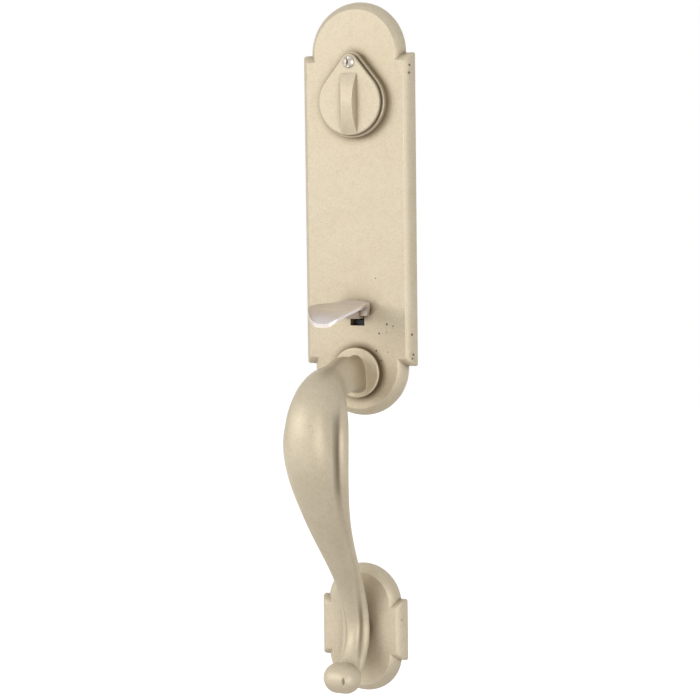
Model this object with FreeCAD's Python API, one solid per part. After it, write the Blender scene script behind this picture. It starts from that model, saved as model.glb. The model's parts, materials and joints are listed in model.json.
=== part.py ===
import FreeCAD, Part
import math
import os

from FreeCAD import Vector

# Entry door handleset, outside half.
# Frame: door face is y = 0, the front looks towards -Y, +X is to the right, +Z is up.
# The origin is the centre of the latch cross bore in the door face. All sizes are in mm.

# Door preparation
BORE_SPACING = 139.7      # latch bore centre to cylinder bore centre

# Upper plate, its outline at the door face
PLATE_HALF_WIDTH = 40.5
PLATE_ABOVE_LOCK = 67.0   # cylinder axis to the plate's top
PLATE_BELOW_LATCH = 72.7  # latch axis to the plate's foot
PLATE_ARCH_HALF = 34.1
PLATE_ARCH_RISE = 34.6

# Lower rosette, its outline at the door face
ROSETTE_HALF_WIDTH = 31.3
ROSETTE_ARCH_HALF = 26.5
ROSETTE_NOTCH_HALF = 21.2
ROSETTE_ARCH_RISE = 23.25

# Casting, the same for both plates
PLATE_DEPTH = 8.8
FACE_INSET = 5.3          # the face's outline lies this far inside the outline at the door
WALL_STEPS = 5
FACE_WALL = 3.0
RIM_WALL = 3.0
CORNER_R = 1.5            # outer corners beside the notches

# Keyhole boss and its swivel cover
COVER_R = 22.1
COVER_NECK_R = 5.4
COVER_HANG = 26.5         # pivot screw above the cylinder axis
COVER_THICK = 2.4
COVER_GAP = 1.6
COVER_EDGE_R = 0.9
BOSS_MARGIN = 1.6
BOSS_HEIGHT = 5.7
BOSS_EDGE_R = 0.7
RIB_HALF_WIDTH = 5.9
RIB_RISE = 4.6
RIB_TOP_GAP = 7.0         # pivot to the rib's upper end
RIB_DRAFT = 23.0          # degrees
PIVOT_HEAD_R = 4.1
PIVOT_HEAD_RISE = 1.7
PIVOT_SHOULDER_R = 2.4
PIVOT_THREAD_R = 1.8
PIVOT_THREAD_LENGTH = 8.0
PIVOT_SLOT_WIDTH = 1.4
PIVOT_SLOT_DEPTH = 1.1
WASHER_THICK = 1.3
WASHER_R = 4.2

# Lock cylinder
HOUSING_R = 15.0
HOUSING_NOSE_R = 13.0
HOUSING_NOSE_LENGTH = 2.2
HOUSING_REAR_R = 13.0
HOUSING_LENGTH = 20.0     # behind the door face
FLANGE_R = 24.2
FLANGE_THICK = 3.5
FACE_SET_BACK = 0.4       # cylinder face behind the boss face
PLUG_R = 6.35
PLUG_LIP_R = 7.3
PLUG_LIP = 1.2
PLUG_TAIL = 1.6           # plug past the rear of the housing
KEYWAY_WIDTH = 1.7
KEYWAY_TOP = 3.4
KEYWAY_BOTTOM = 4.6
PIN_R = 1.4
PIN_PITCH = 3.9
PIN_FIRST = 5.4           # first pin behind the cylinder face
KEY_PIN_LENGTHS = (5.2, 6.1, 4.6, 5.7, 4.9)
DRIVER_LENGTH = 3.0
CHAMBER_HEIGHT = 11.9
CHAMBER_CAP = 1.0
PIN_SPRING_WIRE_R = 0.2
PIN_SPRING_TURNS = 4
PLUG_CAP_R = 8.3
PLUG_CAP_LIP = 1.2
TAIL_DISC_THICK = 1.2
TAIL_WIDTH = 6.0
TAIL_THICK = 1.8
TAIL_REACH = 70.0
SCREW_CIRCLE = 19.6       # cylinder screws and bolt holes from the cylinder axis
CYL_SCREW_R = 1.9
CYL_SCREW_DEPTH = 6.5
CYL_SCREW_HEAD_R = 3.4
CYL_SCREW_HEAD = 2.4
BOLT_HOLE_R = 2.5

# Thumb latch
SLOT_HALF_WIDTH = 5.2
SLOT_TOP = 3.2
SLOT_BOTTOM = -10.8
ARM_HALF_WIDTH = 4.9
ARM_TOP = 1.0
ARM_BOTTOM = -5.7
PIVOT_Y = 3.0
PIVOT_Z = -2.5
PIVOT_PIN_R = 1.5
HUB_R = 2.9
TAIL_END_Y = 9.1
TAIL_TOP = -0.2
TAIL_BOTTOM = -3.2
LEAF_THICK = 2.4
LEAF_POINTS = 15          # points across one face of the leaf
WEB_BACK = -11.2
WEB_FRONT = -15.8
WEB_TIP = -27.0
WEB_TOP = 3.2
WEB_BOTTOM = -3.6
WEB_HALF_TOP = 11.0
WEB_HALF_BOTTOM = 9.6

# Leaf of the thumbpiece from its back lip to its turned-down front: y, centre height, rim height,
# half width
LEAF_STATIONS = (
    (-16.6, 6.9, 5.3, 12.9),
    (-18.4, 6.8, 5.2, 13.1),
    (-20.6, 5.4, 5.2, 13.5),
    (-24.0, 4.2, 5.3, 14.2),
    (-29.0, 3.5, 5.4, 15.5),
    (-35.0, 3.0, 5.3, 17.1),
    (-40.5, 2.3, 4.8, 18.7),
    (-45.5, 2.0, 4.6, 19.0),
    (-50.0, 1.2, 3.2, 17.7),
    (-55.0, -0.2, 1.6, 15.3),
    (-60.0, -2.2, -0.8, 12.2),
    (-63.6, -4.1, -3.0, 9.2),
    (-65.8, -5.7, -5.2, 5.4),
)

# Latch mechanism behind the plate
PAD_HEIGHT = 2.5
PAD_HALF_WIDTH = 13.0
PAD_HALF_HEIGHT = 21.0
BRACKET_THICK = 2.0
BRACKET_HALF_WIDTH = 11.5
BRACKET_HALF_HEIGHT = 20.0
BRACKET_SCREW_Z = 16.0
BRACKET_SCREW_R = 1.7
BRACKET_SCREW_HEAD_R = 2.9
BRACKET_SCREW_HEAD = 1.9
BRACKET_SCREW_DEPTH = 4.0
EAR_THICK = 2.5
EAR_TOP = 11.0
EAR_BOTTOM = -11.0
WINDOW_BOTTOM = -7.6      # the arm's window in the bracket ends just below the pressed arm
REAR_WALL = 12.3
REAR_WALL_THICK = 2.2
CAM_DISC_R = 8.0
CAM_DISC_THICK = 2.6
CAM_HUB_R = 6.0
CAM_HUB_LENGTH = 6.6
CRANK_X = 4.5
CRANK_Z = 1.6
CRANK_R = 1.5
CRANK_LENGTH = 2.1
SPINDLE_SIDE = 6.35
SPINDLE_REACH = 65.0
CLIP_R = 8.4
CLIP_THICK = 1.0
CLIP_GROOVE = 0.8
ROLL_PIN_R = 0.9
RETURN_SPRING_R = 1.4
RETURN_SPRING_WIRE_R = 0.3
RETURN_SPRING_TURNS = 6
RETURN_SPRING_X = -2.6
RETURN_SPRING_Y = 6.9
BRIDGE_BOTTOM = 8.8

# Mounting posts beside the latch bore
POST_SPACING = 41.2
POST_R = 5.5
POST_STUD_R = 3.5
POST_STUD = 1.8
POST_THREAD_R = 2.5
POST_THREAD_DEPTH = 6.5

# Grip
GRIP_ABOVE_FOOT = 30.2    # collar axis above the plate's foot
GRIP_SPAN = 176.9         # collar axis to the lower spigot's axis
COLLAR_R = 17.2
COLLAR_THICK = 4.4
COLLAR_EDGE_R = 1.2
SPIGOT_R = 8.0
GRIP_SCREW_R = 4.0
GRIP_SCREW_DEPTH = 16.0
GRIP_SCREW_HEAD_R = 6.5
GRIP_SCREW_HEAD = 3.2
GRIP_SCREW_SOCKET = 5.0
GRIP_WASHER_R = 11.0
GRIP_WASHER_THICK = 1.6
SHOULDER_R = 6.4          # lower end of the grip where it stands on the rosette
LOWER_SPIGOT_R = 5.0
LOWER_THREAD_R = 3.0
LOWER_THREAD_DEPTH = 12.0
RING_R = 8.2
RING_THICK = 1.2
RING_GROOVE = 1.0
SPIGOT_SET_BACK = 1.5
POST_FRONT = -17.0        # the lower post ends inside the strap
BALL_Y = -40.6
BALL_SHARE = 1.1543       # ball below the collar axis, as a share of the grip's span
BALL_R = 10.3
BALL_HALF_WIDTH = 13.0
DENT_X = 5.4
DENT_R = 1.6
DENT_HALF_HEIGHT = 4.4
DENT_DEPTH = 0.6

# Fits
RUNNING = 0.05            # radial clearance of turning pieces
SLIP = 0.1                # radial clearance of pieces that only slip together
THREAD = 0.03             # radial clearance left between plain thread cylinders
JOINT_GAP = 0.3           # side clearance between turning faces

# Derived places
CYL_Z = BORE_SPACING
FACE_Y = -PLATE_DEPTH
POCKET_Y = FACE_Y + FACE_WALL
PAD_Y = POCKET_Y + PAD_HEIGHT
BOSS_Y = FACE_Y - BOSS_HEIGHT
COVER_Y = BOSS_Y - COVER_GAP
COVER_FRONT = COVER_Y - COVER_THICK
COVER_PIVOT_Z = CYL_Z + COVER_HANG
CYL_FACE = BOSS_Y + FACE_SET_BACK
NOSE_BACK = CYL_FACE + HOUSING_NOSE_LENGTH
BRACKET_BACK = PAD_Y + BRACKET_THICK
BRACKET_INNER = BRACKET_HALF_WIDTH - EAR_THICK
CAM_DISC_Y = REAR_WALL - JOINT_GAP - CAM_DISC_THICK
CAM_HUB_END = CAM_DISC_Y + CAM_DISC_THICK + CAM_HUB_LENGTH
CLIP_Y = REAR_WALL + REAR_WALL_THICK + JOINT_GAP
COLLAR_FRONT = FACE_Y - COLLAR_THICK
PLATE_TOP = (BORE_SPACING + PLATE_ABOVE_LOCK + PLATE_BELOW_LATCH) / 2
PLATE_CENTRE_Z = (BORE_SPACING + PLATE_ABOVE_LOCK - PLATE_BELOW_LATCH) / 2
PLATE_SIZES = (PLATE_HALF_WIDTH, PLATE_ARCH_HALF, PLATE_TOP - PLATE_ARCH_RISE, PLATE_TOP)
ROSETTE_SIZES = (ROSETTE_HALF_WIDTH, ROSETTE_ARCH_HALF, ROSETTE_NOTCH_HALF,
                 ROSETTE_NOTCH_HALF + ROSETTE_ARCH_RISE)
WALL_R = (FACE_INSET ** 2 + PLATE_DEPTH ** 2) / (2 * FACE_INSET)
GRIP_Z = GRIP_ABOVE_FOOT - PLATE_BELOW_LATCH
ROSETTE_CENTRE_Z = GRIP_Z - GRIP_SPAN


def box(x0, x1, y0, y1, z0, z1):
    return Part.makeBox(x1 - x0, y1 - y0, z1 - z0, Vector(x0, y0, z0))


def rod_y(radius, y0, y1, x=0.0, z=0.0):
    return Part.makeCylinder(radius, y1 - y0, Vector(x, y0, z), Vector(0, 1, 0))


def rod_x(radius, x0, x1, y, z):
    return Part.makeCylinder(radius, x1 - x0, Vector(x0, y, z), Vector(1, 0, 0))


def rod_z(radius, z0, z1, x, y):
    return Part.makeCylinder(radius, z1 - z0, Vector(x, y, z0), Vector(0, 0, 1))


def ring_y(outer, inner, y0, y1, x=0.0, z=0.0):
    return rod_y(outer, y0, y1, x, z).cut(rod_y(inner, y0 - 1, y1 + 1, x, z))


def edges_at_y(shape, y):
    """Edges that lie wholly in the plane at y."""
    found = []
    for edge in shape.Edges:
        bounds = edge.BoundBox
        if abs(bounds.YMin - y) < 1e-4 and abs(bounds.YMax - y) < 1e-4:
            found.append(edge)
    return found


def arched_wire(sizes, inset, centre_z, y):
    """Closed outline, moved inwards by the inset: straight sides, notched corners, an arch at each end."""
    half_width, arch_half, notch, top = (size - inset for size in sizes)
    turn = CORNER_R * (1 - math.sqrt(0.5))

    def at(x, z):
        return Vector(x, y, centre_z + z)

    edges = []
    for way in (1, -1):
        side, shelf, foot, crown = (way * v for v in (half_width, notch, arch_half, top))
        end_x, end_z = way * (half_width - CORNER_R), way * (notch - CORNER_R)
        edges += [
            Part.makeLine(at(side, -end_z), at(side, end_z)),
            Part.Arc(at(side, end_z), at(side - way * turn, shelf - way * turn), at(end_x, shelf)).toShape(),
            Part.makeLine(at(end_x, shelf), at(foot, shelf)),
            Part.Arc(at(foot, shelf), at(0, crown), at(-foot, shelf)).toShape(),
            Part.makeLine(at(-foot, shelf), at(-end_x, shelf)),
            Part.Arc(at(-end_x, shelf), at(-side + way * turn, shelf - way * turn), at(-side, end_z)).toShape(),
        ]
    return Part.Wire(edges)


def wall_inset(depth):
    """How far the bowed side wall leans in at a distance in front of the door."""
    return WALL_R - math.sqrt(WALL_R ** 2 - depth ** 2)


def arched_casting(sizes, centre_z):
    """Hollow-backed casting: side wall bowed outwards, open pocket behind."""
    reach = math.asin(PLATE_DEPTH / WALL_R)
    depths = [WALL_R * math.sin(reach * k / WALL_STEPS) for k in range(WALL_STEPS + 1)]
    body = Part.makeLoft([arched_wire(sizes, wall_inset(d), centre_z, -d) for d in depths], True, False)
    pocket = Part.Face(arched_wire(sizes, RIM_WALL + wall_inset(-POCKET_Y), centre_z, 0))
    return body.cut(pocket.extrude(Vector(0, POCKET_Y, 0)))


def teardrop(radius, neck_radius, y0, y1):
    """Solid of a round disc about the cylinder axis drawn out to a point at the pivot."""
    lean = math.asin((radius - neck_radius) / COVER_HANG)
    along, across = math.sin(lean), math.cos(lean)
    low = (radius * across, CYL_Z + radius * along)
    high = (neck_radius * across, COVER_PIVOT_Z + neck_radius * along)

    def at(x, z):
        return Vector(x, y0, z)

    wire = Part.Wire([
        Part.makeLine(at(low[0], low[1]), at(high[0], high[1])),
        Part.Arc(at(high[0], high[1]), at(0, COVER_PIVOT_Z + neck_radius), at(-high[0], high[1])).toShape(),
        Part.makeLine(at(-high[0], high[1]), at(-low[0], low[1])),
        Part.Arc(at(-low[0], low[1]), at(0, CYL_Z - radius), at(low[0], low[1])).toShape(),
    ])
    return Part.Face(wire).extrude(Vector(0, y1 - y0, 0))


def coil_z(radius, wire_radius, turns, z0, z1, x, y):
    """Compression spring standing on Z with its ends between z0 and z1."""
    height = z1 - z0 - 2 * wire_radius
    helix = Part.makeHelix(height / turns, height, radius)
    start = Part.Circle(Vector(radius, 0, 0), Vector(0, 1, 0), wire_radius).toShape()
    pipe = Part.Wire(helix.Edges).makePipeShell([Part.Wire(start)], True, False)
    pipe.translate(Vector(x, y, z0 + wire_radius))
    return pipe


def between_rows(rows, steps):
    """Rows of numbers with smooth in-between rows added."""
    padded = [rows[0]] + list(rows) + [rows[-1]]
    out = []
    for k in range(len(rows) - 1):
        for j in range(steps):
            t = j / steps
            row = []
            for a, b, c, d in zip(*padded[k:k + 4]):
                row.append(b + 0.5 * t * (c - a + t * (2 * a - 5 * b + 4 * c - d + t * (3 * b - 3 * c + d - a))))
            out.append(tuple(row))
    out.append(tuple(rows[-1]))
    return out


def skin(sections):
    """Solid under a smooth surface drawn over closed sections with the same number of points."""
    around, along = len(sections[0]), len(sections)
    poles = [[section[k] for section in sections] for k in range(around)]
    surface = Part.BSplineSurface()
    surface.buildFromPolesMultsKnots(poles, [1] * (around + 1), [4] + [1] * (along - 4) + [4],
                                     [float(k) for k in range(around + 1)],
                                     [float(k) for k in range(along - 2)], True, False, 3, 3)
    side = surface.toShape()
    ends = [edge for edge in side.Edges if edge.BoundBox.DiagonalLength < side.BoundBox.DiagonalLength / 2]
    shell = Part.makeShell([side] + [Part.Face(Part.Wire([edge])) for edge in ends])
    shell.sewShape()
    solid = Part.makeSolid(shell)
    if solid.Volume < 0:
        solid.reverse()
    return solid


def pan_screw(thread_r, thread_end, head_r, head, seat, x, z):
    """Screw along -Y: head behind the seat plane, plain thread up to thread_end, cross recess."""
    body = rod_y(head_r, seat, seat + head, x, z)
    body = body.makeFillet(0.35 * head, edges_at_y(body, seat + head))
    body = body.fuse(rod_y(thread_r, thread_end, seat, x, z)).removeSplitter()
    arm = 0.55 * head_r
    slot = 0.18 * head_r
    top = seat + head
    cross = box(x - arm, x + arm, top - 0.5 * head, top + 1, z - slot, z + slot)
    cross = cross.fuse(box(x - slot, x + slot, top - 0.5 * head, top + 1, z - arm, z + arm))
    return body.cut(cross)


# Casting pits: x, z, radius on the plate's face, on its side wall and on the rosette's side wall
FACE_PITS = ((21.8, -9.5, 0.60), (26.3, -10.6, 0.45), (16.0, -15.8, 0.65), (21.2, -15.2, 0.40),
             (13.7, -27.6, 0.60), (22.2, -28.4, 0.40), (17.3, -34.3, 0.55), (16.0, -37.4, 0.60),
             (13.9, 21.5, 0.45))
WALL_PITS = ((38.9, -16.4, 0.75), (39.4, -30.0, 0.75), (39.0, -32.6, 0.65), (32.3, -46.5, 0.80),
             (38.9, 163.5, 0.70), (38.7, 158.4, 0.85))
ROSETTE_PITS = ((28.9, -211.6, 0.60),)
PIT_SINK = 0.15           # pit centre below the face, as a share of its radius


def wall_pits(half_width, places):
    """Pits at the bowed side wall of a plate of this half width."""
    balls = []
    for x, z, r in places:
        inset = half_width - x
        depth = math.sqrt(WALL_R ** 2 - (WALL_R - inset) ** 2)
        balls.append(Part.makeSphere(r, Vector(x - PIT_SINK * r, -depth, z)))
    return balls


def make_plate():
    body = arched_casting(PLATE_SIZES, PLATE_CENTRE_Z)
    boss = teardrop(COVER_R + BOSS_MARGIN, COVER_NECK_R + BOSS_MARGIN, FACE_Y, BOSS_Y)
    boss = boss.makeFillet(BOSS_EDGE_R, edges_at_y(boss, BOSS_Y))
    extras = [
        boss,
        rod_y(FLANGE_R, POCKET_Y, 0, 0, CYL_Z),
        box(-PAD_HALF_WIDTH, PAD_HALF_WIDTH, POCKET_Y, PAD_Y, -PAD_HALF_HEIGHT, PAD_HALF_HEIGHT),
    ]
    body = body.multiFuse(extras).removeSplitter()
    holes = [
        rod_y(HOUSING_R + SLIP, NOSE_BACK, 1, 0, CYL_Z),
        rod_y(HOUSING_NOSE_R + SLIP, BOSS_Y - 1, NOSE_BACK + 1, 0, CYL_Z),
        box(-SLOT_HALF_WIDTH, SLOT_HALF_WIDTH, FACE_Y - 1, 1, SLOT_BOTTOM, SLOT_TOP),
        rod_y(SPIGOT_R + SLIP, FACE_Y - 1, 1, 0, GRIP_Z),
        rod_y(PIVOT_THREAD_R + THREAD, BOSS_Y - 1, BOSS_Y + PIVOT_THREAD_LENGTH, 0, COVER_PIVOT_Z),
    ]
    for side in (-1, 1):
        holes.append(rod_y(CYL_SCREW_R + THREAD, -CYL_SCREW_DEPTH, 1, 0, CYL_Z + side * SCREW_CIRCLE))
        holes.append(rod_y(BRACKET_SCREW_R + THREAD, PAD_Y - BRACKET_SCREW_DEPTH, 1,
                           0, side * BRACKET_SCREW_Z))
        holes.append(rod_y(POST_STUD_R, POCKET_Y - POST_STUD, 1, side * POST_SPACING / 2, 0))
        holes.append(rod_y(BOLT_HOLE_R + SLIP, -CYL_SCREW_DEPTH, 1, side * SCREW_CIRCLE, CYL_Z))
    balls = [Part.makeSphere(r, Vector(x, FACE_Y + PIT_SINK * r, z)) for x, z, r in FACE_PITS]
    return body.cut(holes).cut(balls + wall_pits(PLATE_HALF_WIDTH, WALL_PITS))


def make_rosette():
    body = arched_casting(ROSETTE_SIZES, ROSETTE_CENTRE_Z)
    hole = rod_y(LOWER_SPIGOT_R + SLIP, FACE_Y - 1, 1, 0, ROSETTE_CENTRE_Z)
    return body.cut([hole] + wall_pits(ROSETTE_HALF_WIDTH, ROSETTE_PITS))


def make_posts():
    posts = []
    for side in (-1, 1):
        x = side * POST_SPACING / 2
        post = rod_y(POST_R, POCKET_Y, 0, x, 0).fuse(rod_y(POST_STUD_R, POCKET_Y - POST_STUD, POCKET_Y, x, 0))
        posts.append(post.removeSplitter().cut(rod_y(POST_THREAD_R, -POST_THREAD_DEPTH, 1, x, 0)))
    return Part.makeCompound(posts)


def make_cover():
    body = teardrop(COVER_R, COVER_NECK_R, COVER_FRONT, COVER_Y)
    body = body.makeFillet(COVER_EDGE_R, edges_at_y(body, COVER_FRONT))
    rib_top = COVER_PIVOT_Z - RIB_TOP_GAP
    rib_bottom = CYL_Z - COVER_R + COVER_EDGE_R
    half_chord = (rib_top - rib_bottom) / 2
    arc_r = (half_chord ** 2 + RIB_RISE ** 2) / (2 * RIB_RISE)
    middle = (rib_top + rib_bottom) / 2
    arch = rod_x(arc_r, -RIB_HALF_WIDTH * 2, RIB_HALF_WIDTH * 2, COVER_FRONT - RIB_RISE + arc_r, middle)
    crest = RIB_HALF_WIDTH - RIB_RISE * math.tan(math.radians(RIB_DRAFT))
    base_y = COVER_Y - 0.5 * COVER_THICK
    spread = (COVER_FRONT - base_y) / (-RIB_RISE)
    base_half = RIB_HALF_WIDTH + (RIB_HALF_WIDTH - crest) * spread
    wedge = Part.Face(Part.makePolygon([
        Vector(-base_half, base_y, rib_bottom), Vector(base_half, base_y, rib_bottom),
        Vector(crest, COVER_FRONT - RIB_RISE, rib_bottom), Vector(-crest, COVER_FRONT - RIB_RISE, rib_bottom),
        Vector(-base_half, base_y, rib_bottom)])).extrude(Vector(0, 0, rib_top - rib_bottom))
    rib = wedge.common(arch)
    body = body.fuse(rib).removeSplitter()
    return body.cut(rod_y(PIVOT_SHOULDER_R + RUNNING, COVER_FRONT - 1, COVER_Y + 1, 0, COVER_PIVOT_Z))


def make_cover_screw():
    head_y = COVER_FRONT - JOINT_GAP
    dome_r = (PIVOT_HEAD_R ** 2 + PIVOT_HEAD_RISE ** 2) / (2 * PIVOT_HEAD_RISE)
    dome = Part.makeSphere(dome_r, Vector(0, head_y - PIVOT_HEAD_RISE + dome_r, COVER_PIVOT_Z))
    head = rod_y(PIVOT_HEAD_R, head_y - PIVOT_HEAD_RISE - 1, head_y, 0, COVER_PIVOT_Z).common(dome)
    shoulder = rod_y(PIVOT_SHOULDER_R, head_y, BOSS_Y, 0, COVER_PIVOT_Z)
    thread = rod_y(PIVOT_THREAD_R, BOSS_Y, BOSS_Y + PIVOT_THREAD_LENGTH - 1, 0, COVER_PIVOT_Z)
    slot = box(-PIVOT_SLOT_WIDTH / 2, PIVOT_SLOT_WIDTH / 2, head_y - PIVOT_HEAD_RISE - 1,
               head_y - PIVOT_HEAD_RISE + PIVOT_SLOT_DEPTH,
               COVER_PIVOT_Z - PIVOT_HEAD_R - 1, COVER_PIVOT_Z + PIVOT_HEAD_R + 1)
    return head.multiFuse([shoulder, thread]).removeSplitter().cut(slot)


def make_cover_washer():
    return ring_y(WASHER_R, PIVOT_SHOULDER_R + SLIP, BOSS_Y - WASHER_THICK, BOSS_Y, 0, COVER_PIVOT_Z)


def pin_places():
    return [CYL_FACE + PIN_FIRST + k * PIN_PITCH for k in range(len(KEY_PIN_LENGTHS))]


SHEAR_LOW = math.sqrt(PLUG_R ** 2 - PIN_R ** 2) - RUNNING
SHEAR_HIGH = PLUG_R + 2 * RUNNING


def make_housing():
    body = rod_y(HOUSING_NOSE_R, CYL_FACE, NOSE_BACK, 0, CYL_Z)
    body = body.multiFuse([
        rod_y(HOUSING_R, NOSE_BACK, FLANGE_THICK, 0, CYL_Z),
        rod_y(FLANGE_R, 0, FLANGE_THICK, 0, CYL_Z),
        rod_y(HOUSING_REAR_R, FLANGE_THICK, HOUSING_LENGTH, 0, CYL_Z),
    ]).removeSplitter()
    holes = [
        rod_y(PLUG_R + RUNNING, CYL_FACE - 1, HOUSING_LENGTH + 1, 0, CYL_Z),
        rod_y(PLUG_LIP_R + RUNNING, CYL_FACE - 1, CYL_FACE + PLUG_LIP + JOINT_GAP, 0, CYL_Z),
    ]
    for y in pin_places():
        holes.append(rod_z(PIN_R + RUNNING, CYL_Z, CYL_Z + HOUSING_R + 1, 0, y))
    for side in (-1, 1):
        holes.append(rod_y(CYL_SCREW_R + SLIP, -1, FLANGE_THICK + 1, 0, CYL_Z + side * SCREW_CIRCLE))
        holes.append(rod_y(BOLT_HOLE_R, -1, FLANGE_THICK + 1, side * SCREW_CIRCLE, CYL_Z))
    return body.cut(holes)


def make_cylinder_screws():
    return Part.makeCompound([
        pan_screw(CYL_SCREW_R, -CYL_SCREW_DEPTH + 1, CYL_SCREW_HEAD_R, CYL_SCREW_HEAD, FLANGE_THICK,
                  0, CYL_Z + side * SCREW_CIRCLE) for side in (-1, 1)])


def make_plug():
    rear = HOUSING_LENGTH + PLUG_TAIL
    body = rod_y(PLUG_R, CYL_FACE, rear, 0, CYL_Z).fuse(
        rod_y(PLUG_LIP_R, CYL_FACE, CYL_FACE + PLUG_LIP, 0, CYL_Z)).removeSplitter()
    keyway = box(-KEYWAY_WIDTH / 2, KEYWAY_WIDTH / 2, CYL_FACE - 1, HOUSING_LENGTH - 4,
                 CYL_Z - KEYWAY_BOTTOM, CYL_Z + KEYWAY_TOP)
    ward = box(-KEYWAY_WIDTH, 0, CYL_FACE - 1, HOUSING_LENGTH - 4, CYL_Z - 1, CYL_Z + 0.6)
    holes = [keyway.fuse(ward)]
    for y in pin_places():
        holes.append(rod_z(PIN_R + RUNNING, CYL_Z + SHEAR_LOW - max(KEY_PIN_LENGTHS) - 0.4,
                           CYL_Z + PLUG_R + 1, 0, y))
    return body.cut(holes)


def make_key_pins():
    pins = []
    for y, length in zip(pin_places(), KEY_PIN_LENGTHS):
        top = CYL_Z + SHEAR_LOW
        pin = rod_z(PIN_R, top - length + PIN_R, top, 0, y)
        tip = Part.makeCone(0.4 * PIN_R, PIN_R, PIN_R, Vector(0, y, top - length), Vector(0, 0, 1))
        pins.append(pin.fuse(tip).removeSplitter())
    return Part.makeCompound(pins)


def make_driver_pins():
    return Part.makeCompound([rod_z(PIN_R, CYL_Z + SHEAR_HIGH, CYL_Z + SHEAR_HIGH + DRIVER_LENGTH, 0, y)
                              for y in pin_places()])


def make_pin_springs():
    low = CYL_Z + SHEAR_HIGH + DRIVER_LENGTH
    high = CYL_Z + CHAMBER_HEIGHT
    return Part.makeCompound([coil_z(PIN_R - 2 * PIN_SPRING_WIRE_R, PIN_SPRING_WIRE_R, PIN_SPRING_TURNS,
                                     low, high, 0, y) for y in pin_places()])


def make_chamber_caps():
    low = CYL_Z + CHAMBER_HEIGHT
    return Part.makeCompound([rod_z(PIN_R + RUNNING, low, low + CHAMBER_CAP, 0, y) for y in pin_places()])


def make_plug_cap():
    front = HOUSING_LENGTH + JOINT_GAP
    rear = HOUSING_LENGTH + PLUG_TAIL + TAIL_DISC_THICK
    cup = ring_y(PLUG_CAP_R, PLUG_R, front, rear, 0, CYL_Z)
    lip = ring_y(PLUG_CAP_R, TAIL_WIDTH / 2 + 1.2, rear, rear + PLUG_CAP_LIP, 0, CYL_Z)
    return cup.fuse(lip).removeSplitter()


def make_tailpiece():
    front = HOUSING_LENGTH + PLUG_TAIL
    disc = rod_y(PLUG_R - SLIP, front, front + TAIL_DISC_THICK, 0, CYL_Z)
    bar = box(-TAIL_WIDTH / 2, TAIL_WIDTH / 2, front, TAIL_REACH,
              CYL_Z - TAIL_THICK / 2, CYL_Z + TAIL_THICK / 2)
    return disc.fuse(bar).removeSplitter()


def leaf_section(y, centre_z, rim_z, half_width):
    """Closed section of the leaf: dished top face and the same face one thickness below."""
    shares = [math.sin(math.pi * (k / (LEAF_POINTS - 1) - 0.5)) for k in range(LEAF_POINTS)]
    top = [Vector(half_width * share, y, centre_z + (rim_z - centre_z) * abs(share) ** 3) for share in shares]
    low = [Vector(0.97 * v.x, y, v.z - LEAF_THICK) for v in top]
    return top + low[::-1]


def make_thumbpiece():
    leaf = skin([leaf_section(*row) for row in between_rows(LEAF_STATIONS, 2)])
    corners = ((-WEB_HALF_BOTTOM, WEB_BOTTOM), (WEB_HALF_BOTTOM, WEB_BOTTOM), (WEB_HALF_TOP, WEB_TOP),
               (-WEB_HALF_TOP, WEB_TOP), (-WEB_HALF_BOTTOM, WEB_BOTTOM))
    web = Part.Face(Part.makePolygon([Vector(x, WEB_BACK, z) for x, z in corners]))
    web = web.extrude(Vector(0, WEB_FRONT - WEB_BACK, 0))
    corners = ((WEB_BACK, ARM_BOTTOM), (WEB_FRONT, ARM_BOTTOM), (WEB_TIP, WEB_TOP - 1.5), (WEB_BACK, WEB_TOP),
               (WEB_BACK, ARM_BOTTOM))
    side = Part.Face(Part.makePolygon([Vector(-ARM_HALF_WIDTH, y, z) for y, z in corners]))
    side = side.extrude(Vector(2 * ARM_HALF_WIDTH, 0, 0))
    arm = box(-ARM_HALF_WIDTH, ARM_HALF_WIDTH, WEB_FRONT, PIVOT_Y, ARM_BOTTOM, ARM_TOP)
    hub = rod_x(HUB_R, -ARM_HALF_WIDTH, ARM_HALF_WIDTH, PIVOT_Y, PIVOT_Z)
    tail = box(-ARM_HALF_WIDTH, ARM_HALF_WIDTH, PIVOT_Y, TAIL_END_Y, TAIL_BOTTOM, TAIL_TOP)
    body = leaf.multiFuse([web, side, arm, hub, tail]).removeSplitter()
    return body.cut(rod_x(PIVOT_PIN_R + RUNNING, -ARM_HALF_WIDTH - 1, ARM_HALF_WIDTH + 1, PIVOT_Y, PIVOT_Z))


def make_pivot_pin():
    return rod_x(PIVOT_PIN_R, -BRACKET_HALF_WIDTH, BRACKET_HALF_WIDTH, PIVOT_Y, PIVOT_Z)


def make_pivot_spacers():
    spacers = []
    inner = ARM_HALF_WIDTH + JOINT_GAP
    for low, high in ((inner, BRACKET_INNER), (-BRACKET_INNER, -inner)):
        tube = rod_x(PIVOT_PIN_R + 1.3, low, high, PIVOT_Y, PIVOT_Z)
        spacers.append(tube.cut(rod_x(PIVOT_PIN_R, low - 1, high + 1, PIVOT_Y, PIVOT_Z)))
    return Part.makeCompound(spacers)


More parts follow.
